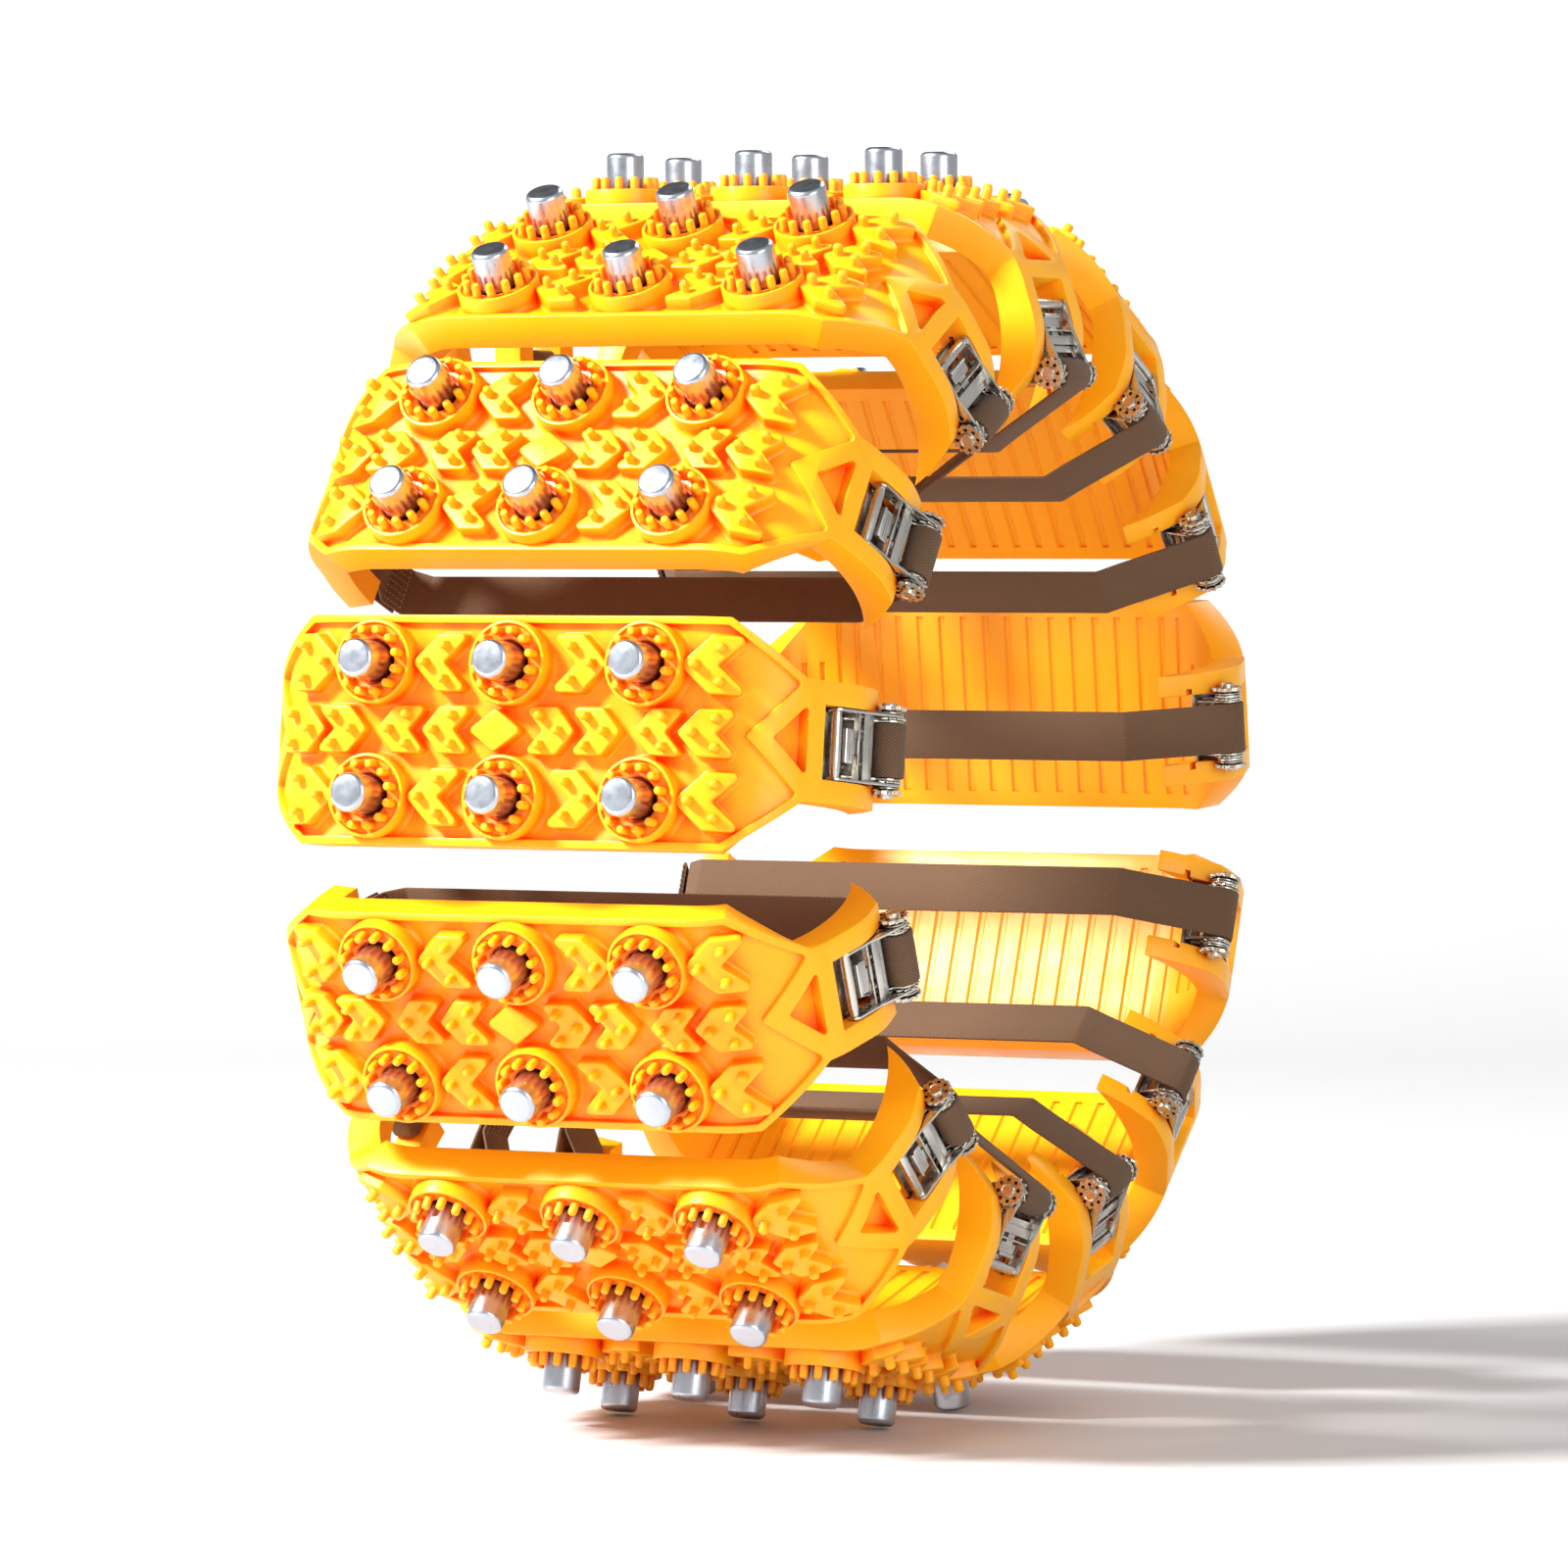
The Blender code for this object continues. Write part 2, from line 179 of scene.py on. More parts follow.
def lathe(shape, profile, centre, axis, sides):
    """Add a closed turned form: (distance along the axis, radius) points about the axis."""
    across = axis.orthogonal().normalized()
    third = axis.cross(across)
    rings = []
    for distance, radius in profile:
        ring = []
        for step in range(sides):
            angle = 2 * pi * step / sides
            spoke = across * (radius * cos(angle)) + third * (radius * sin(angle))
            ring.append(shape.verts.new(centre + axis * distance + spoke))
        rings.append(ring)
    join_rings(shape, rings)


def turned(profile, centre=(0, 0, 0), axis=Y_AXIS, sides=32):
    shape = bmesh.new()
    lathe(shape, profile, Vector(centre), axis, sides)
    return new_mesh("turned", shape)


def evaluated(mesh, add_modifiers, extras=()):
    """The mesh after the modifiers that add_modifiers puts on a throwaway object."""
    holder = bpy.data.objects.new("holder", mesh)
    tools = [bpy.data.objects.new("tool", extra) for extra in extras]
    for item in [holder, *tools]:
        bpy.context.scene.collection.objects.link(item)
    add_modifiers(holder, tools)
    bpy.context.view_layer.update()
    graph = bpy.context.evaluated_depsgraph_get()
    result = bpy.data.meshes.new_from_object(holder.evaluated_get(graph))
    for item in [holder, *tools]:
        bpy.data.objects.remove(item, do_unlink=True)
    return shade(result)


def combine(mesh, others, operation):
    """The mesh after an exact Boolean with each of the others."""

    def add(holder, tools):
        for tool in tools:
            modifier = holder.modifiers.new("combine", "BOOLEAN")
            modifier.operation = operation
            modifier.solver = "EXACT"
            modifier.object = tool

    return evaluated(mesh, add, others)


def rounded(mesh, width, segments=2):
    """The mesh with its sharp edges rounded over."""

    def add(holder, tools):
        bevel = holder.modifiers.new("round", "BEVEL")
        bevel.width = width
        bevel.segments = segments
        bevel.limit_method = "ANGLE"
        bevel.angle_limit = ROUNDED_FROM

    return evaluated(mesh, add)


def merged(meshes, name="merged"):
    """Several meshes as one, keeping their material indices and maps."""
    shape = bmesh.new()
    for mesh in meshes:
        shape.from_mesh(mesh)
    result = bpy.data.meshes.new(name)
    shape.to_mesh(result)
    shape.free()
    return shade(result)


def moved(mesh, offset, turn=0.0):
    """The mesh turned about the Y axis through the origin, then shifted."""
    mesh.transform(Matrix.Translation(offset) @ Matrix.Rotation(turn, 4, "Y"))
    return mesh


def in_metres(mesh):
    mesh.transform(Matrix.Scale(MM, 4))
    return mesh


def filleted(points, radius, steps=3, closed=True):
    """An outline or path with each corner turned into an arc."""
    count = len(points)
    result = []
    for index in range(count):
        corner = Vector(points[index])
        if not closed and index in (0, count - 1):
            result.append(tuple(corner))
            continue
        back = Vector(points[index - 1]) - corner
        ahead = Vector(points[(index + 1) % count]) - corner
        half = back.angle(ahead) / 2
        if half > radians(88):
            result.append(tuple(corner))
            continue
        reach = min(radius / tan(half), back.length * 0.48, ahead.length * 0.48)
        bisector = (back.normalized() + ahead.normalized()).normalized()
        centre = corner + bisector * (reach / cos(half))
        first = corner + back.normalized() * reach - centre
        last = corner + ahead.normalized() * reach - centre
        begin = atan2(first.y, first.x)
        sweep = atan2(last.y, last.x) - begin
        sweep = (sweep + pi) % (2 * pi) - pi
        for step in range(steps + 1):
            angle = begin + sweep * step / steps
            spoke = Vector((cos(angle), sin(angle))) * first.length
            result.append(tuple(centre + spoke))
    return result


def offset_outline(outline, distance):
    """A closed anticlockwise outline moved outwards, its corners mitred."""
    count = len(outline)
    result = []
    for index in range(count):
        corner = Vector(outline[index])
        incoming = (corner - Vector(outline[index - 1])).normalized()
        outgoing = (Vector(outline[(index + 1) % count]) - corner).normalized()
        normal = Vector((incoming.y, -incoming.x))
        mitre = (normal + Vector((outgoing.y, -outgoing.x))).normalized()
        result.append(tuple(corner + mitre * (distance / max(mitre.dot(normal), 0.5))))
    return result


def raised(shape, outline, rings):
    """Add a closed form: the outline offset and lifted to each (offset, height)."""
    loops = []
    for offset, height in rings:
        loop = [shape.verts.new((x, y, height)) for x, y in offset_outline(outline, offset)]
        loops.append(loop)
    join_rings(shape, loops)


def rod(path, radius, sides=8):
    """A round wire along a path of 3-D points."""
    shape = bmesh.new()
    points = [Vector(point) for point in path]
    rings = []
    across = None
    for index, point in enumerate(points):
        ahead = points[min(index + 1, len(points) - 1)]
        behind = points[max(index - 1, 0)]
        along = (ahead - behind).normalized()
        if across is None:
            across = along.orthogonal().normalized()
        across = (across - along * across.dot(along)).normalized()
        third = along.cross(across)
        ring = []
        for step in range(sides):
            angle = 2 * pi * step / sides
            spoke = across * cos(angle) + third * sin(angle)
            ring.append(shape.verts.new(point + spoke * radius))
        rings.append(ring)
    join_rings(shape, rings)
    return new_mesh("rod", shape)


def coil(centre, axis, length, radius, wire, turns):
    """A compression spring from a centre point along an axis."""
    across = axis.orthogonal().normalized()
    third = axis.cross(across)
    steps = int(turns * 10)
    path = []
    for step in range(steps + 1):
        share = step / steps
        angle = 2 * pi * turns * share
        spoke = across * (radius * cos(angle)) + third * (radius * sin(angle))
        path.append(Vector(centre) + axis * (length * share) + spoke)
    return rod(path, wire, 5)


def rivet(centre, axis, radius, height):
    """A domed rivet head standing on a surface."""
    profile = [
        (-0.3, radius),
        (0.0, radius),
        (height * 0.45, radius * 0.93),
        (height * 0.8, radius * 0.68),
        (height, radius * 0.25),
    ]
    return turned(profile, centre, axis, 14)


# ---------------------------------------------------------------- materials


class Look:
    """A short hand for building one procedural material."""

    def __init__(self, name, roughness, metallic=0.0):
        self.material = bpy.data.materials.new(name)
        self.material.use_nodes = True
        self.tree = self.material.node_tree
        self.shader = self.tree.nodes["Principled BSDF"]
        self.shader.inputs["Roughness"].default_value = roughness
        self.shader.inputs["Metallic"].default_value = metallic
        self.place = self.node("TexCoord").outputs["Object"]

    def node(self, kind, **settings):
        made = self.tree.nodes.new("ShaderNode" + kind)
        for name, value in settings.items():
            setattr(made, name, value)
        return made

    def set(self, socket, value):
        if isinstance(value, bpy.types.NodeSocket):
            self.tree.links.new(value, socket)
        elif isinstance(value, tuple) and len(value) == 3 and socket.type == "RGBA":
            socket.default_value = (*value, 1.0)
        elif value is not None:
            socket.default_value = value

    def noise(self, scale, detail=3.0, stretch=None):
        made = self.node("TexNoise")
        made.inputs["Scale"].default_value = scale
        made.inputs["Detail"].default_value = detail
        source = self.place
        if stretch:
            mapping = self.node("Mapping")
            mapping.inputs["Scale"].default_value = stretch
            self.set(mapping.inputs["Vector"], self.place)
            source = mapping.outputs["Vector"]
        self.set(made.inputs["Vector"], source)
        return made.outputs["Fac"]

    def spread(self, source, low, high, start=0.3, end=0.7):
        made = self.node("MapRange")
        values = (source, start, end, low, high)
        for value, socket in zip(values, made.inputs[:5]):
            self.set(socket, value)
        return made.outputs["Result"]

    def mix(self, share, first, second):
        made = self.node("Mix", data_type="RGBA")
        self.set(made.inputs[0], share)
        self.set(made.inputs[6], first)
        self.set(made.inputs[7], second)
        return made.outputs[2]

    def math(self, operation, *values):
        made = self.node("Math", operation=operation)
        for value, socket in zip(values, made.inputs):
            self.set(socket, value)
        return made.outputs["Value"]

    def bump(self, height, strength, distance, below=None):
        made = self.node("Bump")
        made.inputs["Strength"].default_value = strength
        made.inputs["Distance"].default_value = distance
        self.set(made.inputs["Height"], height)
        self.set(made.inputs["Normal"], below)
        return made.outputs["Normal"]

    def finish(self, colour, roughness, normal):
        self.set(self.shader.inputs["Base Color"], colour)
        self.set(self.shader.inputs["Roughness"], roughness)
        self.set(self.shader.inputs["Normal"], normal)
        return self.material


# The elastomer's two close tints, and the deeper orange painted shade of its recesses
SKIN_DEEP = (1.0, 0.4, 0.002)
SKIN_PALE = (1.0, 0.46, 0.006)
PAINTED_SHADE_ORANGE = (1.0, 0.1, 0.0)
# How far a recess or a gap reaches to get painted shade
ELASTOMER_SHADE_REACH = 13 * MM
METAL_SHADE_REACH = 8 * MM
# The near-black painted shade of the metal's gaps
PAINTED_GAP_SHADE = (0.02, 0.017, 0.015)
# The weave, in millimetres of the strap's map
WARP_PITCH = 2.0
WEFT_PITCH = 2.6
YARN_DARK = (0.08, 0.043, 0.024)
YARN_PALE = (0.18, 0.104, 0.058)
YARN_DUSTY = (0.125, 0.072, 0.041)
THREAD_DARK = (0.18, 0.14, 0.1)
THREAD_PALE = (0.3, 0.25, 0.19)


def elastomer_look():
    """Yellow-orange moulded elastomer: a satin skin, with deeper orange painted shade in its
    recesses.
    """
    look = Look("elastomer", 0.36)
    patches = look.spread(look.noise(9.0, 4.0), 0.0, 1.0)
    skin = look.mix(patches, SKIN_DEEP, SKIN_PALE)
    # Painted shade: the colour turns deeper orange wherever ambient occlusion finds a recess
    occlusion = look.node("AmbientOcclusion", samples=4)
    occlusion.inputs["Distance"].default_value = ELASTOMER_SHADE_REACH
    painted_shade = look.spread(occlusion.outputs["AO"], 1.0, 0.0, 0.28, 0.74)
    colour = look.mix(painted_shade, skin, PAINTED_SHADE_ORANGE)
    gloss = look.spread(look.noise(55.0), 0.3, 0.45)
    grain = look.bump(look.noise(1400.0, 2.0), 0.12, 0.0002)
    flow = look.bump(look.noise(30.0, 2.0), 0.25, 0.0006, grain)
    look.shader.inputs["Coat Weight"].default_value = 0.12
    look.shader.inputs["Specular IOR Level"].default_value = 0.3
    look.shader.inputs["Coat Roughness"].default_value = 0.3
    return look.finish(colour, gloss, flow)


def metal_look(name, light, dark, low, high, brushed, scale=40.0):
    """A metal in two close tints, with near-black painted shade in its gaps, and fine marks along
    one direction.
    """
    look = Look(name, low, 1.0)
    plate = look.mix(look.spread(look.noise(scale, 4.0), 0.0, 1.0), dark, light)
    # Painted shade: the colour goes near black wherever ambient occlusion finds a gap
    occlusion = look.node("AmbientOcclusion", samples=4)
    occlusion.inputs["Distance"].default_value = METAL_SHADE_REACH
    painted_shade = look.spread(occlusion.outputs["AO"], 1.0, 0.0, 0.16, 0.55)
    colour = look.mix(painted_shade, plate, PAINTED_GAP_SHADE)
    gloss = look.spread(look.noise(scale * 4, 4.0), low, high)
    marks = look.bump(look.noise(900.0, 2.0, brushed), 0.16, 0.0001)
    pits = look.bump(look.noise(500.0), 0.1, 0.0001, marks)
    return look.finish(colour, gloss, pits)


def webbing_look():
    """Taupe polyester webbing: a plain weave that follows the strap's own map."""
    look = Look("webbing", 0.88)
    grid = look.node("SeparateXYZ")
    look.set(grid.inputs["Vector"], look.node("UVMap", uv_map="weave").outputs["UV"])
    warp = look.math("SINE", look.math("MULTIPLY", grid.outputs["X"], 2 * pi / WARP_PITCH))
    weft = look.math("SINE", look.math("MULTIPLY", grid.outputs["Y"], 2 * pi / WEFT_PITCH))
    threads = look.math("MULTIPLY_ADD", look.math("MULTIPLY", warp, weft), 0.5, 0.5)
    fuzz = look.noise(3200.0, 2.0)
    yarn = look.mix(threads, YARN_DARK, YARN_PALE)
    dusty = look.mix(look.spread(look.noise(26.0, 4.0), 0.0, 0.5), yarn, YARN_DUSTY)
    relief = look.bump(threads, 0.55, 0.0004)
    hairy = look.bump(fuzz, 0.25, 0.0002, relief)
    look.shader.inputs["Specular IOR Level"].default_value = 0.2
    look.shader.inputs["Sheen Weight"].default_value = 0.06
    look.shader.inputs["Sheen Roughness"].default_value = 0.5
    return look.finish(dusty, look.spread(fuzz, 0.8, 0.95), hairy)


def thread_look():
    """Pale twisted sewing thread."""
    look = Look("thread", 0.75)
    twist = look.noise(2500.0, 2.0, (1.0, 3.0, 1.0))
    colour = look.mix(look.spread(twist, 0.0, 1.0), THREAD_DARK, THREAD_PALE)
    return look.finish(colour, look.spread(twist, 0.65, 0.85), look.bump(twist, 0.4, 0.0002))


def make_looks():
    round_marks = (1.0, 1.0, 0.08)
    flat_marks = (1.0, 0.12, 1.0)
    metals = [
        ("stud_steel", (0.56, 0.6, 0.67), (0.5, 0.54, 0.6), 0.26, 0.34, round_marks),
        ("zinc_steel", (0.72, 0.65, 0.53), (0.56, 0.54, 0.5), 0.22, 0.38, flat_marks),
        ("handle_steel", (0.72, 0.68, 0.6), (0.58, 0.58, 0.56), 0.2, 0.34, flat_marks),
        ("pawl_steel", (0.74, 0.72, 0.68), (0.58, 0.57, 0.55), 0.26, 0.42, flat_marks),
    ]
    looks = {metal[0]: metal_look(*metal) for metal in metals}
    looks["elastomer"] = elastomer_look()
    looks["webbing"] = webbing_look()
    looks["thread"] = thread_look()
    return looks


# ---------------------------------------------------------------- the pad

# Past its shoulders the pad thins on the inboard side and swells on the outboard side
INBOARD_THINNING = 0.14
OUTBOARD_SWELL = 0.1
SWELL_RISE = 22 * MM
SWELL_FADE = 26 * MM


def limb_thickness(side, run):
    """How much thicker or thinner than the tread plate the pad is past its shoulders."""
    share = min(max((run - ARM_ROOT) / SWELL_RISE, 0.0), 1.0)
    share = share * share * (3 - 2 * share)
    if side < 0:
        return 1 - INBOARD_THINNING * share
    fade = min(max((run - ARM_ROOT - SWELL_FADE) / SWELL_FADE, 0.0), 1.0)
    return 1 + OUTBOARD_SWELL * share * (1 - fade)


def on_tyre(point):
    """Bend a point of the flat pad, (along the axle, along the tread, height), round the tyre."""
    side = -1 if point.x < 0 else 1
    run = abs(point.x)
    turn = max(min(run, ARM_ROOT) - SEAT, 0.0) / (SHOULDER_RADIUS + FIELD)
    turn += max(run - ARM_ROOT, 0.0) / (SIDEWALL_RADIUS + FIELD)
    bend = min(turn, SHOULDER_TURN)
    x = min(run, SEAT) + SHOULDER_RADIUS * sin(bend)
    z = TYRE_RADIUS - SHOULDER_RADIUS * (1 - cos(bend))
    if turn > SHOULDER_TURN:
        x += SIDEWALL_RADIUS * (sin(turn) - sin(SHOULDER_TURN))
        z += SIDEWALL_RADIUS * (cos(turn) - cos(SHOULDER_TURN))
    offset = (FIELD + point.z) * limb_thickness(side, run)
    return Vector((side * (x + offset * sin(turn)), point.y, z + offset * cos(turn)))


def mirrored(points):
    """A half outline for y >= 0, from right to left, closed by its mirror image."""
    return points + [(x, -y) for x, y in reversed(points)]


POCKET_APEX = 139.6 * MM
POCKET_SIDE = (169.8 * MM, 30.3 * MM)
POCKET_CORNER = (128.9 * MM, 59.5 * MM)
BRACE_HOLE = (154.5 * MM, 174.1 * MM, 20 * MM)  # apex, base and half width
BRACE_HOLE_DEPTH = 6 * MM
RECESS_START = 200 * MM
RECESS_DEPTH = 10 * MM
# The shallow channels across the underside
CHANNELS_EACH_WAY = 11
CHANNEL_PITCH = 15 * MM
CHANNEL_MOUTH = 3.6 * MM
CHANNEL_FLOOR = 1.2 * MM
CHANNEL_DEPTH = 1.3 * MM
CHANNEL_MARGIN = 9 * MM
ARM_CHANNEL_MARGIN = 7 * MM


def flat_pad():
    """The flat pad: plate, rim, recessed field, braces, fork and sling, its edges rounded."""
    half = [
        (ARM_TIP_LOW + 4 * MM, ARM_HALF),
        (TAPER_END, ARM_HALF),
        (TAPER_START, PAD_HALF),
        (-TAPER_START, PAD_HALF),
        (-TAPER_END, ARM_HALF),
        (-SLING_END, ARM_HALF),
    ]
    plate = prism(mirrored(half), -FIELD, RIM, "Z")
    pocket = [(POCKET_APEX, 0.0), POCKET_SIDE, POCKET_CORNER]
    pocket += [(-x, y) for x, y in reversed(pocket)]
    field = pocket + [(x, -y) for x, y in reversed(pocket[1:-1])]
    top = RIM + 1 * MM
    cutters = [prism(filleted(field, 2 * MM), 0.0, top, "Z")]
    for side in (-1, 1):
        apex, base, half_width = BRACE_HOLE
        hole = [(side * apex, 0), (side * base, half_width), (side * base, -half_width)]
        cutters.append(prism(filleted(hole, 1.5 * MM), -BRACE_HOLE_DEPTH, top, "Z"))
    fork_end = ARM_TIP_LOW + 9 * MM
    gap = (-FORK_HALF_GAP, FORK_HALF_GAP)
    cutters.append(block((FORK_ROOT, fork_end), gap, (-FIELD - MM, top)))
    # The arms end on a slope, shorter at the outer face
    slope = (ARM_TIP_LOW - ARM_TIP_HIGH) / (FIELD + RIM)
    ends = [
        (ARM_TIP_LOW + slope * MM, -FIELD - MM),
        (ARM_TIP_HIGH - slope * MM, RIM + MM),
        (fork_end, RIM + MM),
        (fork_end, -FIELD - MM),
    ]
    cutters.append(prism(ends, -PAD_HALF, PAD_HALF))
    window_x = (-SLING_WINDOW[1], -SLING_WINDOW[0])
    cutters.append(block(window_x, (-SLING_HALF, SLING_HALF), (-FIELD - MM, top)))
    recess_x = (-SLING_END - MM, -RECESS_START)
    cutters.append(block(recess_x, (-SLING_HALF, SLING_HALF), (-FIELD - MM, -RECESS_DEPTH)))
    pad = rounded(combine(plate, cutters, "DIFFERENCE"), 1.1 * MM, 3)
    grips = []
    for step in range(-CHANNELS_EACH_WAY, CHANNELS_EACH_WAY + 1):
        middle = step * CHANNEL_PITCH
        reach = ARM_HALF - ARM_CHANNEL_MARGIN
        if abs(middle) < TAPER_START - 5 * MM:
            reach = PAD_HALF - CHANNEL_MARGIN
        channel = [
            (middle - CHANNEL_MOUTH, -FIELD - MM),
            (middle - CHANNEL_FLOOR, -FIELD + CHANNEL_DEPTH),
            (middle + CHANNEL_FLOOR, -FIELD + CHANNEL_DEPTH),
            (middle + CHANNEL_MOUTH, -FIELD - MM),
        ]
        grips.append(prism(channel, -reach, reach))
    return combine(pad, [merged(grips)], "DIFFERENCE")


# The relief on the field: (offset, height) rings from the foot up to the top
BLOCK_RINGS = [
    (2.5, -0.6),
    (2.5, 0.0),
    (1.7, 0.35),
    (1.15, 0.95),
    (0.85, 1.9),
    (0.7, 3.0),
    (0.6, 7.6),
    (0.5, 8.1),
    (0.25, 8.6),
    (-0.15, 8.9),
    (-0.7, 9.0),
]
CHEVRON = [(-15.4, 0), (-4.6, -12.6), (14.4, -12.6), (3.2, 0), (14.4, 12.6), (-4.6, 12.6)]
CHEVRON_PINS = [(-7.2, 0), (4.2, 8.1), (4.2, -8.1)]
LONG_CHEVRON = [(-17.4, 0), (-1.8, -15.4), (16.8, -15.4), (0.9, 0), (16.8, 15.4), (-1.8, 15.4)]
LONG_PINS = [(-9.0, 0), (3.4, 9.3), (3.4, -9.3)]
DIAMOND = [(-15.8, 0), (0, -11.6), (15.8, 0), (0, 11.6)]
DIAMOND_CENTRE = -7.2
CORNER_RADIUS = 2.0
# The place of each chevron's apex along the axle, and the way it points: -1 inboard, 1 outboard
MIDDLE_CHEVRONS = (
    (-80.8, -1),
    (-52.6, -1),
    (78.8, -1),
    (105.8, -1),
    (41.7, 1),
    (70.1, 1),
    (-88.6, 1),
    (-114.0, 1),
)
ROW_CHEVRONS = ((-60.4, -1), (60.4, 1), (105.4, -1), (-106.5, 1))
PIN_PROFILE = [
    (8.4, 3.0),
    (9.05, 2.95),
    (9.5, 2.65),
    (10.2, 2.55),
    (13.6, 2.5),
    (14.8, 2.15),
    (15.5, 1.4),
    (15.8, 0.4),
]


def add_chevron(shape, outline, pins, apex, pointing, row):
    """One chevron block and its three pins, in millimetres over the flat field."""
    middle = apex - pointing * abs(outline[0][0])
    points = [(middle - pointing * x, row - pointing * y) for x, y in outline]
    raised(shape, filleted(points, CORNER_RADIUS), BLOCK_RINGS)
    for x, y in pins:
        centre = Vector((middle - pointing * x, row - pointing * y, 0))
        lathe(shape, PIN_PROFILE, centre, Z_AXIS, 14)


def relief():
    """The chevron blocks with their pins, and the plain diamond."""
    shape = bmesh.new()
    for apex, pointing in MIDDLE_CHEVRONS:
        add_chevron(shape, CHEVRON, CHEVRON_PINS, apex, pointing, 0.0)
    for row in STUD_ROWS:
        for apex, pointing in ROW_CHEVRONS:
            add_chevron(shape, LONG_CHEVRON, LONG_PINS, apex, pointing, row)
    diamond = [(x + DIAMOND_CENTRE, y) for x, y in DIAMOND]
    raised(shape, filleted(diamond, CORNER_RADIUS), BLOCK_RINGS)
    return new_mesh("relief", shape)


BOSS_PROFILE = [
    (-1.0, 25.9),
    (0.0, 25.7),
    (0.35, 24.9),
    (1.1, 24.1),
    (2.4, 23.6),
    (4.0, 23.5),
    (11.6, 23.5),
    (12.4, 23.2),
    (12.7, 22.6),
    (12.7, 21.8),
    (12.3, 21.3),
    (11.2, 20.8),
    (11.0, 13.8),
    (10.7, 13.0),
    (10.0, 12.4),
    (6.0, 12.3),
    (6.0, 0.5),
]
PEG_PROFILE = [
    (10.0, 3.3),
    (11.1, 3.1),
    (11.7, 2.65),
    (12.6, 2.5),
    (18.4, 2.45),
    (19.4, 2.1),
    (19.9, 1.3),
    (20.0, 0.5),
]
PEG_COUNT = 12
PEG_RING = 17.5


def bosses():
    """The crown round each stud: a flared cup with a ring of tall pegs, in millimetres."""
    shape = bmesh.new()
    for x in STUD_COLUMNS:
        for y in STUD_ROWS:
            lathe(shape, BOSS_PROFILE, Vector((x, y, 0)), Z_AXIS, 48)
            for step in range(PEG_COUNT):
                angle = 2 * pi * (step + 0.5) / PEG_COUNT
                centre = Vector((x + PEG_RING * cos(angle), y + PEG_RING * sin(angle), 0))
                lathe(shape, PEG_PROFILE, centre, Z_AXIS, 12)
    return new_mesh("bosses", shape)


def bent(mesh):
    """A flat mesh cut finely across the shoulders and arms, then bent round the tyre."""
    shape = bmesh.new()
    shape.from_mesh(mesh)
    station = SEAT
    while station < ARM_TIP_LOW + 2 * MM:
        for side in (-1, 1):
            everything = shape.verts[:] + shape.edges[:] + shape.faces[:]
            bmesh.ops.bisect_plane(
                shape, geom=everything, plane_co=(side * station, 0, 0), plane_no=(1, 0, 0)
            )
        station += BEND_STEP
    bmesh.ops.triangulate(shape, faces=shape.faces)
    for vertex in shape.verts:
        vertex.co = on_tyre(vertex.co)
    return new_mesh("bent", shape)


def pad_mesh():
    """The moulded pad bent over the tyre, with the groove for the buckle's anchor plate."""
    body = combine(bent(flat_pad()), [block(*GROOVE)], "DIFFERENCE")
    return merged([body, bent(in_metres(relief())), bent(in_metres(bosses()))], "pad")


def studs_mesh():
    """The six steel studs, each a turned cylinder with a rounded tip and a flat top."""
    profile = [
        (STUD_TIP - 42, STUD_RADIUS - 0.2),
        (STUD_TIP - 41, STUD_RADIUS),
        (STUD_TIP - 2.9, STUD_RADIUS),
        (STUD_TIP - 2.0, 10.8),
        (STUD_TIP - 1.1, 10.3),
        (STUD_TIP - 0.4, 9.5),
        (STUD_TIP - 0.1, 8.8),
        (STUD_TIP, 8.2),
        (STUD_TIP, 0.6),
    ]
    shape = bmesh.new()
    for x in STUD_COLUMNS:
        for y in STUD_ROWS:
            lathe(shape, profile, Vector((x, y, 0)), Z_AXIS, 40)
    return in_metres(new_mesh("studs", shape))


# ---------------------------------------------------------------- the strap

ROLL_RADIUS = 9.0  # of the webbing's centre line on the outermost turn
ROLL_TURNS = 2.6
ROLL_STEPS = 96
# The strap's sewn tail, its loop round the sling bar, its run past the rim and up to the roll
STRAP_CORNERS = [
    (-165.0, 202.0),
    (-170.5, 216.5),
    (-175.2, 231.0),
    (-175.2, 255.4),
    (-159.5, 255.4),
    (-159.5, 236.0),
    (-166.4, 214.5),
    (-160.5, 201.5),
    (-150.0, 195.0),
    (132.6, 195.0),
    (144.5, 203.5),
]
CORNER_BEND = 4.0


def strap_path(spool_x, spool_z):
    """The webbing's centre line in millimetres, from its sewn tail to the end of its roll."""
    path = filleted(STRAP_CORNERS, CORNER_BEND, 4, closed=False)
    across, up = spool_x - STRAP_CORNERS[-1][0], spool_z - STRAP_CORNERS[-1][1]
    # The roll starts just past its lowest point, where the run meets it
    start = -pi / 2 + 0.72 * up / across
    for step in range(ROLL_STEPS + 1):
        turn = 2 * pi * ROLL_TURNS * step / ROLL_STEPS
        radius = ROLL_RADIUS - ROLL_PITCH * turn / (2 * pi)
        angle = start + turn
        path.append((spool_x + radius * cos(angle), spool_z + radius * sin(angle)))
    return path


def even_path(path, step):
    """The path cut into pieces no longer than step."""
    result = [Vector(path[0])]
    for point in path[1:]:
        point = Vector(point)
        last = result[-1]
        pieces = max(1, int((point - last).length / step + 0.999))
        for piece in range(1, pieces + 1):
            result.append(last.lerp(point, piece / pieces))
    return result


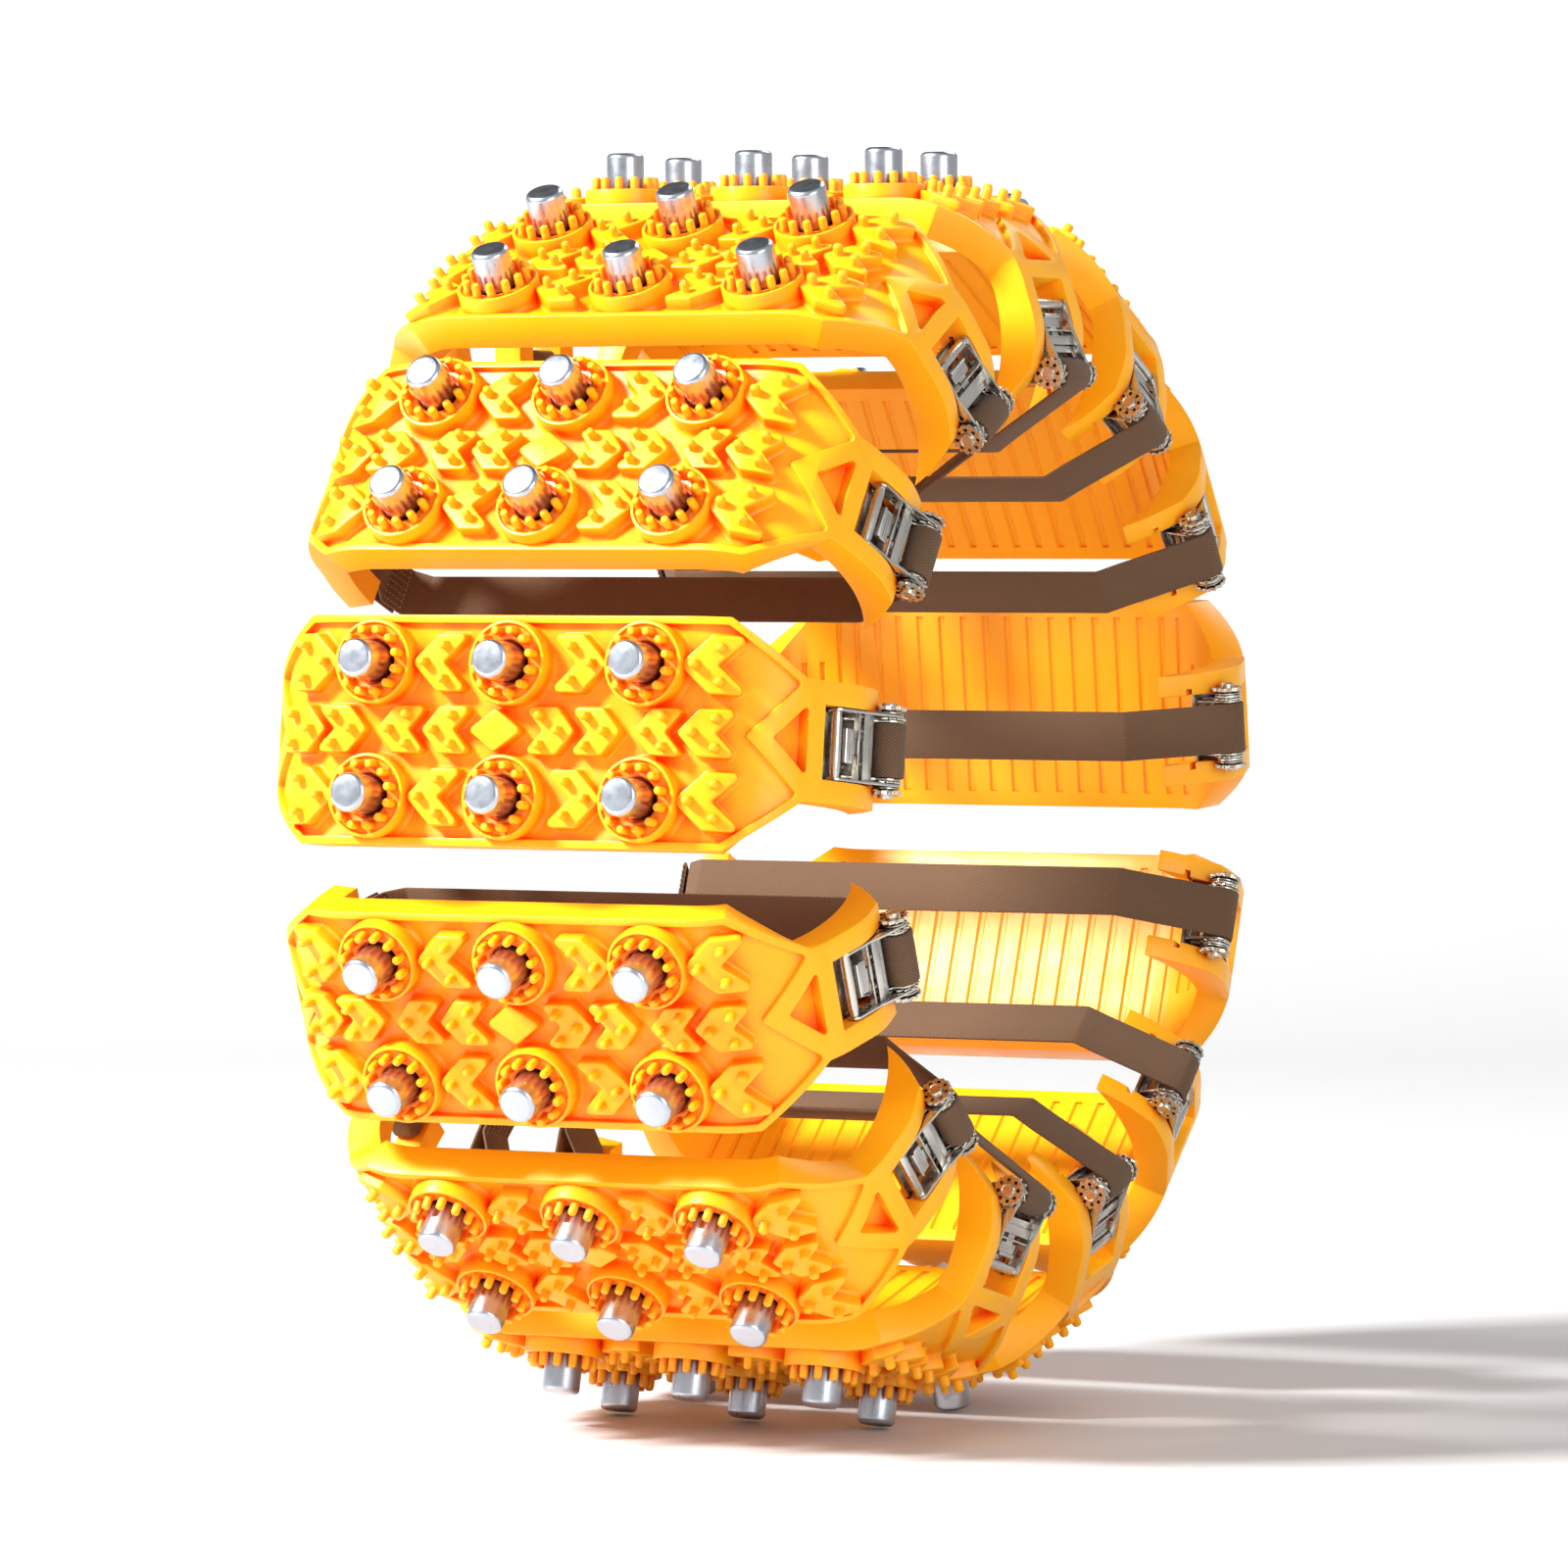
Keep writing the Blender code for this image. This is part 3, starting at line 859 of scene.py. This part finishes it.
def strap_mesh(spool_x, spool_z):
    """The woven band, with rounded selvedges and its own map in millimetres."""
    path = even_path(strap_path(spool_x, spool_z), 12.0)
    shape = bmesh.new()
    layer = shape.loops.layers.uv.new("weave")
    edge = STRAP_HALF - 0.7
    half = STRAP_THICKNESS / 2
    turned_edge = STRAP_HALF - 0.15
    section = [(-edge, -half), (0.0, -half), (edge, -half), (turned_edge, -0.6), (STRAP_HALF, 0.0)]
    section += [(turned_edge, 0.6), (edge, half), (0.0, half), (-edge, half)]
    section += [(-turned_edge, 0.6), (-STRAP_HALF, 0.0), (-turned_edge, -0.6)]
    rings = []
    distance = 0.0
    travelled = {}
    for index, point in enumerate(path):
        ahead = path[min(index + 1, len(path) - 1)]
        behind = path[max(index - 1, 0)]
        along = (ahead - behind).normalized()
        normal = Vector((-along.y, along.x))
        if index:
            distance += (point - behind).length
        ring = []
        for y, height in section:
            spot = point + normal * height
            vertex = shape.verts.new((spot.x, y, spot.y))
            travelled[vertex] = (y + height * 0.3, distance)
            ring.append(vertex)
        rings.append(ring)
    join_rings(shape, rings)
    for face in shape.faces:
        for loop in face.loops:
            loop[layer].uv = travelled[loop.vert]
    return new_mesh("strap", shape)


def stitch_mesh():
    """The rows of sewing that close the sling, on both faces of the doubled webbing."""
    shape = bmesh.new()
    low, high = Vector((-162.75, 0, 201.75)), Vector((-168.45, 0, 215.5))
    along = (high - low).normalized()
    outward = Vector((-along.z, 0, along.x))
    profile = [(-1.15, 0.1), (-0.95, 0.3), (0.0, 0.38), (0.95, 0.3), (1.15, 0.1)]
    for side in (-1, 1):
        face = outward * (side * 3.15)
        for row in range(7):
            y = -12.0 + row * 4.0
            for step in range(5):
                spot = low.lerp(high, (step + 0.5) / 5) + face
                lathe(shape, profile, spot + Y_AXIS * y, along, 6)
        for end in (0.02, 0.98):
            for step in range(9):
                spot = low.lerp(high, end) + face + Y_AXIS * (-12.0 + step * 3.0)
                lathe(shape, profile, spot, Y_AXIS, 6)
    mesh = new_mesh("stitches", shape)
    for polygon in mesh.polygons:
        polygon.material_index = 1
    return mesh


# ---------------------------------------------------------------- the buckle
# The buckle's pieces are made in millimetres with the spool's axis at the origin. Across
# the buckle each side has, from the middle out: ear, wheel, handle plate, washer, disc.

AXLE_RADIUS = 4.15
AXLE_HALF = 26.0
BORE_RADIUS = 4.6
THROUGH = 30.0  # half length of a tool that cuts through everything
EAR = (15.5, 16.6)
WHEEL = (16.95, 18.05)
HANDLE_PLATE = (18.4, 19.9)
DISC = (22.4, 24.4)
HUB_RADIUS = 8.0
WHEEL_TIP = 9.5
WHEEL_ROOT = 7.6
DISC_TIP = 9.4
DISC_ROOT = 8.1
DISC_HOLE_RING = 6.2
DISC_HOLE_RADIUS = 1.15
ANCHOR_PLATE = (-20.7, -18.7)
GRIP_HEIGHT = 42.0
SPRING_PLACE = 9.0


def through_hole(radius, centre=(0, 0, 0), sides=28):
    """A round tool that pierces every plate of the buckle, along the axle."""
    return turned([(-THROUGH, radius), (THROUGH, radius)], centre, sides=sides)


def gear_outline(teeth, tip, root):
    """A ratchet wheel's saw-toothed outline."""
    points = []
    pitch = 2 * pi / teeth
    middle = (root + tip) / 2
    tooth_form = ((0.0, tip), (0.12, tip * 0.985), (0.2, root), (0.34, root), (0.7, middle))
    for tooth in range(teeth):
        start = tooth * pitch
        for share, radius in tooth_form:
            angle = start + share * pitch
            points.append((radius * cos(angle), radius * sin(angle)))
    return points


def spool_mesh():
    """The spool: slotted axle, two saw-toothed wheels, and a washer and pierced disc each end."""
    axle = turned([(-AXLE_HALF, AXLE_RADIUS), (AXLE_HALF, AXLE_RADIUS)], sides=28)
    slot = block((-0.95, 0.95), (-15.2, 15.2), (-6.0, 6.0))
    pieces = [combine(axle, [slot], "DIFFERENCE")]
    for side in (-1, 1):
        outline = gear_outline(WHEEL_TEETH, WHEEL_TIP, WHEEL_ROOT)
        wheel = prism(outline, WHEEL[0] * side, WHEEL[1] * side)
        pieces.append(rounded(wheel, 0.18, 1))
        cap = [
            (20.3, 4.3),
            (20.3, 7.7),
            (20.5, 8.0),
            (21.0, 8.0),
            (21.2, 7.7),
            (21.2, 4.4),
            (25.6, 4.4),
            (26.5, 3.9),
            (26.5, 3.1),
            (26.2, 2.8),
            (24.6, 2.7),
            (24.6, 0.3),
        ]
        pieces.append(turned([(side * y, radius) for y, radius in cap], sides=28))
        outline = gear_outline(DISC_TEETH, DISC_TIP, DISC_ROOT)
        disc = prism(outline, DISC[0] * side, DISC[1] * side)
        holes = []
        for step in range(DISC_HOLES):
            angle = 2 * pi * step / DISC_HOLES
            centre = (DISC_HOLE_RING * cos(angle), 0, DISC_HOLE_RING * sin(angle))
            holes.append(through_hole(DISC_HOLE_RADIUS, centre, 14))
        pieces.append(rounded(combine(disc, holes, "DIFFERENCE"), 0.18, 1))
    return merged(pieces, "spool")


def lock_pawl_mesh():
    """The slider in the frame: a flat bar with two fingers at the wheels."""
    outline = [
        (-16.5, -18.1),
        (-10.6, -18.1),
        (-9.8, -18.0),
        (-9.8, -16.95),
        (-10.9, -16.9),
        (-11.4, -15.0),
        (-11.4, 15.0),
        (-10.9, 16.9),
        (-9.8, 16.95),
        (-9.8, 18.0),
        (-10.6, 18.1),
        (-16.5, 18.1),
    ]
    bar = prism(outline, -0.75, 0.75, "Z")
    return rounded(bar, 0.2, 2)


def ear_outline():
    """A frame ear, seen along the axle: from the anchor plate round the axle's hole."""
    points = [(-19.6, -4.4), (-2.5, -HUB_RADIUS)]
    for degrees in (-60, -30, 0, 30, 60):
        angle = radians(degrees)
        points.append((HUB_RADIUS * cos(angle), HUB_RADIUS * sin(angle)))
    return points + [(-2.5, HUB_RADIUS), (-19.6, 24.0)]


def base_mesh():
    """The frame: anchor plate, ears with bushes, rivets, pawl guides and the pawl's springs."""
    corners = [(-24.0, -6.0), (24.0, -6.0), (24.0, 42.0), (-24.0, 42.0)]
    plate = prism(filleted(corners, 2.0, 3), *ANCHOR_PLATE, "X")
    slots = [(-6.5, 27.0), (6.5, 27.0), (6.5, 33.0), (-6.5, 33.0)]
    slot = prism(filleted(slots, 2.9, 4), -22.0, -17.0, "X")
    plate = combine(plate, [slot], "DIFFERENCE")
    outline = filleted(ear_outline(), 1.6, 2)
    ears = [prism(outline, side * EAR[0], side * EAR[1]) for side in (-1, 1)]
    frame = combine(plate, ears, "UNION")
    pawl_slot = block((-18.6, -9.2), (-17.0, 17.0), (-1.05, 1.05))
    lightening = through_hole(2.1, (-12.5, 0, 9.5), 20)
    openings = [through_hole(BORE_RADIUS), pawl_slot, lightening]
    frame = rounded(combine(frame, openings, "DIFFERENCE"), 0.22, 2)
    pieces = [frame]
    for side in (-1, 1):
        bush = [(15.2, 4.5), (15.2, 6.3), (15.5, 6.5), (15.7, 6.5), (15.7, 4.5)]
        pieces.append(turned([(side * y, radius) for y, radius in bush], sides=28))
        for z in (16.0, 24.0):
            pieces.append(rivet((ANCHOR_PLATE[1], side * 10.5, z), X_AXIS, 1.7, 0.9))
        pieces.append(rivet((ANCHOR_PLATE[1], side * 19.8, 36.5), X_AXIS, 1.9, 0.9))
        # A bowed leaf presses the pawl towards its wheel
        bow = []
        for step in range(9):
            share = step / 8
            bow.append((-18.6 + 2.0 * sin(pi * share), side * (3.0 + 9.0 * share), 0.0))
        pieces.append(rod(bow, 0.35, 6))
    # The strip that holds the leaves against the plate
    pieces.append(rounded(block((-18.8, -18.3), (-13.5, 13.5), (-2.6, 2.6)), 0.15, 1))
    return merged(pieces, "ratchet_base")


def handle_outline():
    """A side plate, seen along the axle, from the hub to the grip."""
    points = []
    for degrees in range(190, 351, 20):
        angle = radians(degrees)
        points.append((HUB_RADIUS * cos(angle), HUB_RADIUS * sin(angle)))
    right = [(6.2, 14.0), (4.4, 24.0), (4.2, 42.5), (2.5, 45.0)]
    return points + right + [(-x, z) for x, z in reversed(right)]


def handle_mesh():
    """The lever: two pierced side plates, web, springs with their bar, and grip."""
    guide = block((-1.15, 1.15), (-THROUGH, THROUGH), (10.5, 22.6))
    openings = [through_hole(BORE_RADIUS), guide, through_hole(1.5, (0, 0, 31.0), 18)]
    outline = filleted(handle_outline(), 1.0, 2)
    pieces = []
    for side in (-1, 1):
        plate = prism(outline, side * HANDLE_PLATE[0], side * HANDLE_PLATE[1])
        plate = combine(plate, openings, "DIFFERENCE")
        pieces.append(rounded(plate, 0.25, 2))
        ring = [(19.85, 4.7), (19.85, 6.9), (20.05, 6.9), (20.05, 4.7)]
        pieces.append(turned([(side * y, radius) for y, radius in ring], sides=28))
        end = (0, side * HANDLE_PLATE[1], GRIP_HEIGHT)
        pieces.append(rivet(end, Y_AXIS * side, 2.7, 0.9))
        pieces.append(coil((0, side * SPRING_PLACE, 20.2), Z_AXIS, 4.8, 1.15, 0.26, 5))
    web = [(-18.6, 17.0), (18.6, 17.0), (18.6, 22.4), (-18.6, 22.4)]
    pieces.append(rounded(prism(web, 1.4, 2.6, "X"), 0.3, 2))
    # The bar across the handle that the pawl's springs bear on, pierced for the pawl's neck
    bar = block((-1.9, 2.3), (-18.6, 18.6), (25.0, 26.2))
    neck = block((-1.1, 1.1), (-4.5, 4.5), (24.0, 27.0))
    pieces.append(rounded(combine(bar, [neck], "DIFFERENCE"), 0.2, 1))
    grip = [
        (-18.6, 2.2),
        (-18.2, 2.6),
        (-15.5, 2.75),
        (-14.5, 3.0),
        (14.5, 3.0),
        (15.5, 2.75),
        (18.2, 2.6),
        (18.6, 2.2),
    ]
    pieces.append(turned(grip, (0, 0, GRIP_HEIGHT), sides=24))
    return merged(pieces, "ratchet_handle")


def drive_pawl_mesh():
    """The slider in the handle: toothed bar, neck and a finger pull with a rolled lip."""
    bar = [(-18.05, 12.8), (-18.0, 9.9), (-17.0, 9.8), (-16.9, 12.8)]
    bar += [(16.9, 12.8), (17.0, 9.8), (18.0, 9.9), (18.05, 12.8), (19.3, 13.2), (19.3, 20.0)]
    # The springs stand in pockets in the bar's top edge, deep enough for its travel
    pocket = [(10.7, 20.0), (10.7, 17.4), (7.3, 17.4), (7.3, 20.0)]
    bar += pocket + [(4.0, 20.0), (4.0, 27.9), (9.5, 27.9), (9.5, 36.2)]
    bar += [(-9.5, 36.2), (-9.5, 27.9), (-4.0, 27.9), (-4.0, 20.0)]
    bar += [(-y, z) for y, z in reversed(pocket)]
    bar += [(-19.3, 20.0), (-19.3, 13.2)]
    body = rounded(prism(bar, -0.7, 0.7, "X"), 0.2, 2)
    pieces = [body]
    lip = []
    for step in range(7):
        angle = pi * step / 6
        lip.append((0.7 + 1.3 * sin(angle), 36.1 - 1.3 + 1.3 * cos(angle)))
    outline = [(x, z) for x, z in lip] + [(0.2, 33.5), (0.2, 36.1)]
    pieces.append(rounded(prism(outline, -9.5, 9.5), 0.15, 1))
    for z in (29.6, 31.4):
        ridge = [(0.5, z - 0.5), (1.15, z - 0.25), (1.15, z + 0.25), (0.5, z + 0.5)]
        pieces.append(prism(ridge, -7.8, 7.8))
    return merged(pieces, "drive_pawl")


# ---------------------------------------------------------------- the ring

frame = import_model()
cad_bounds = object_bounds()
looks = make_looks()
hinges = {joint["child"]: joint for joint in frame["joints"] if joint["name"].endswith("_hinge")}


def put(name, mesh, matrix, body, finishes, stands_for=()):
    """One object of a shared mesh, riding on its body and standing for its CAD nodes."""
    item = bpy.data.objects.new(name, mesh)
    bpy.context.scene.collection.objects.link(item)
    if not mesh.materials:
        for finish in finishes:
            mesh.materials.append(looks[finish])
    item.matrix_world = matrix
    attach(item, body)
    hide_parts(*[node for node in stands_for if node in frame["nodes"]])
    return item


def build_ring():
    first = hinges["handle_01"]["pos_m"]
    spool_x, spool_z = first[0] / MM, hypot(first[1], first[2]) / MM
    pad = pad_mesh()
    studs = studs_mesh()
    band = merged([strap_mesh(spool_x, spool_z), stitch_mesh()], "strap")
    strap = in_metres(band)
    to_spool = (spool_x * MM, 0, spool_z * MM)
    base = moved(in_metres(base_mesh()), to_spool)
    spool = moved(in_metres(spool_mesh()), to_spool)
    lock_pawl = moved(in_metres(lock_pawl_mesh()), to_spool)
    handle = moved(in_metres(handle_mesh()), to_spool, HANDLE_TILT)
    drive_pawl = moved(in_metres(drive_pawl_mesh()), to_spool, HANDLE_TILT)
    for body, hinge in sorted(hinges.items()):
        number = body[-2:]
        _, y, z = hinge["pos_m"]
        matrix = Matrix.Rotation(pi / 2 - atan2(z, -y), 4, "X")
        # A piece rides on its own body where it has one, and on the body that holds it elsewhere
        pieces = (
            ("pad", pad, "root", ["elastomer"], "pad"),
            ("studs", studs, "root", ["stud_steel"], None),
            ("strap", strap, "root", ["webbing", "thread"], "strap"),
            ("base", base, "root", ["zinc_steel"], "ratchet_base"),
            ("spool", spool, "root", ["zinc_steel"], "spool"),
            ("lock_pawl", lock_pawl, "root", ["pawl_steel"], "lock_pawl"),
            ("handle", handle, body, ["handle_steel"], "ratchet_handle"),
            ("drive_pawl", drive_pawl, body, ["pawl_steel"], "drive_pawl"),
        )
        for piece, mesh, holder, finishes, node in pieces:
            own_body = f"{piece}_{number}"
            rides_on = own_body if own_body in frame["bodies"] else holder
            stands_for = [f"{node}_{number}"] if node else []
            put(f"look_{piece}_{number}", mesh, matrix, rides_on, finishes, stands_for)


build_ring()

# ---------------------------------------------------------------- stage, light, camera

CAMERA_AZIMUTH = radians(26.5)  # from -Y towards +X
CAMERA_ELEVATION = radians(1.77)
CAMERA_DISTANCE = 4.658
CAMERA_LENS = 182.0
WORLD_STRENGTH = 0.5
DARK_DIRECTION = (-0.22, 0.5, 0.84)
# Cosines of the angles from that direction where the patch begins and is darkest
DARK_EDGE = 0.55
DARK_CORE = 0.85
DARK_STRENGTH = 0.08
FLOOR_HALF_WIDTH = 9.0
FLOOR_FRONT = -6.0
FLOOR_BEND = 3.2
FLOOR_BEND_RADIUS = 1.2


def plain(name, colour, roughness):
    look = Look(name, roughness)
    look.shader.inputs["Base Color"].default_value = (*colour, 1.0)
    return look.material


def add_stage():
    """A pale floor just under the lowest studs, curving up far behind."""
    low = cad_bounds[0][2] - 0.5 * MM
    shape = bmesh.new()
    outline = [(FLOOR_FRONT, low), (FLOOR_BEND, low)]
    for step in range(1, 9):
        angle = radians(90) * step / 8
        y = FLOOR_BEND + FLOOR_BEND_RADIUS * sin(angle)
        outline.append((y, low + FLOOR_BEND_RADIUS * (1 - cos(angle))))
    rows = []
    for y, z in outline:
        sides = (-FLOOR_HALF_WIDTH, FLOOR_HALF_WIDTH)
        rows.append([shape.verts.new((x, y, z)) for x in sides])
    for lower, upper in zip(rows, rows[1:]):
        shape.faces.new((lower[0], lower[1], upper[1], upper[0]))
    mesh = new_mesh("floor", shape, radians(60))
    mesh.materials.append(plain("floor", (0.66, 0.66, 0.66), 0.6))
    floor = bpy.data.objects.new("floor", mesh)
    floor.rotation_euler = (0, 0, CAMERA_AZIMUTH)
    bpy.context.scene.collection.objects.link(floor)


def add_light(name, position, size, power, colour=(1.0, 1.0, 1.0)):
    """A soft square lamp aimed at the ring's middle."""
    lamp = bpy.data.lights.new(name, "AREA")
    lamp.energy = power
    lamp.size = size
    lamp.color = colour
    item = bpy.data.objects.new(name, lamp)
    item.location = position
    item.rotation_euler = (-Vector(position)).to_track_quat("-Z", "Y").to_euler()
    bpy.context.scene.collection.objects.link(item)


def add_camera():
    back = Vector(
        (
            sin(CAMERA_AZIMUTH) * cos(CAMERA_ELEVATION),
            -cos(CAMERA_AZIMUTH) * cos(CAMERA_ELEVATION),
            sin(CAMERA_ELEVATION),
        )
    )
    lens = bpy.data.cameras.new("camera")
    lens.lens = CAMERA_LENS
    lens.sensor_width = 36.0
    item = bpy.data.objects.new("camera", lens)
    item.location = back * CAMERA_DISTANCE
    item.rotation_euler = (-back).to_track_quat("-Z", "Y").to_euler()
    bpy.context.scene.collection.objects.link(item)
    bpy.context.scene.camera = item


def world_look():
    """Soft white surroundings with a dark patch high behind, white where the camera sees them."""
    world = bpy.data.worlds.new("world")
    world.use_nodes = True
    tree = world.node_tree
    direction = tree.nodes.new("ShaderNodeTexCoord").outputs["Generated"]
    facing = tree.nodes.new("ShaderNodeVectorMath")
    facing.operation = "DOT_PRODUCT"
    facing.inputs[1].default_value = DARK_DIRECTION
    tree.links.new(direction, facing.inputs[0])
    fade = tree.nodes.new("ShaderNodeMapRange")
    fade.interpolation_type = "SMOOTHSTEP"
    fade.inputs["From Min"].default_value = DARK_EDGE
    fade.inputs["From Max"].default_value = DARK_CORE
    fade.inputs["To Min"].default_value = WORLD_STRENGTH
    fade.inputs["To Max"].default_value = DARK_STRENGTH
    tree.links.new(facing.outputs["Value"], fade.inputs["Value"])
    straight = tree.nodes.new("ShaderNodeLightPath").outputs["Is Camera Ray"]
    brighter = tree.nodes.new("ShaderNodeMath")
    brighter.operation = "MAXIMUM"
    tree.links.new(fade.outputs["Result"], brighter.inputs[0])
    tree.links.new(straight, brighter.inputs[1])
    tree.links.new(brighter.outputs["Value"], tree.nodes["Background"].inputs["Strength"])
    tree.nodes["Background"].inputs["Color"].default_value = (1.0, 1.0, 1.0, 1.0)
    bpy.context.scene.world = world


def light_scene():
    world_look()
    bpy.context.scene.view_settings.view_transform = "Standard"
    add_light("key", (-3.0, -3.2, 3.4), 1.0, 780.0)
    add_light("fill", (3.6, -2.4, 1.2), 2.4, 70.0)
    add_light("back", (0.5, 3.0, 3.2), 2.0, 60.0)


add_stage()
light_scene()
add_camera()
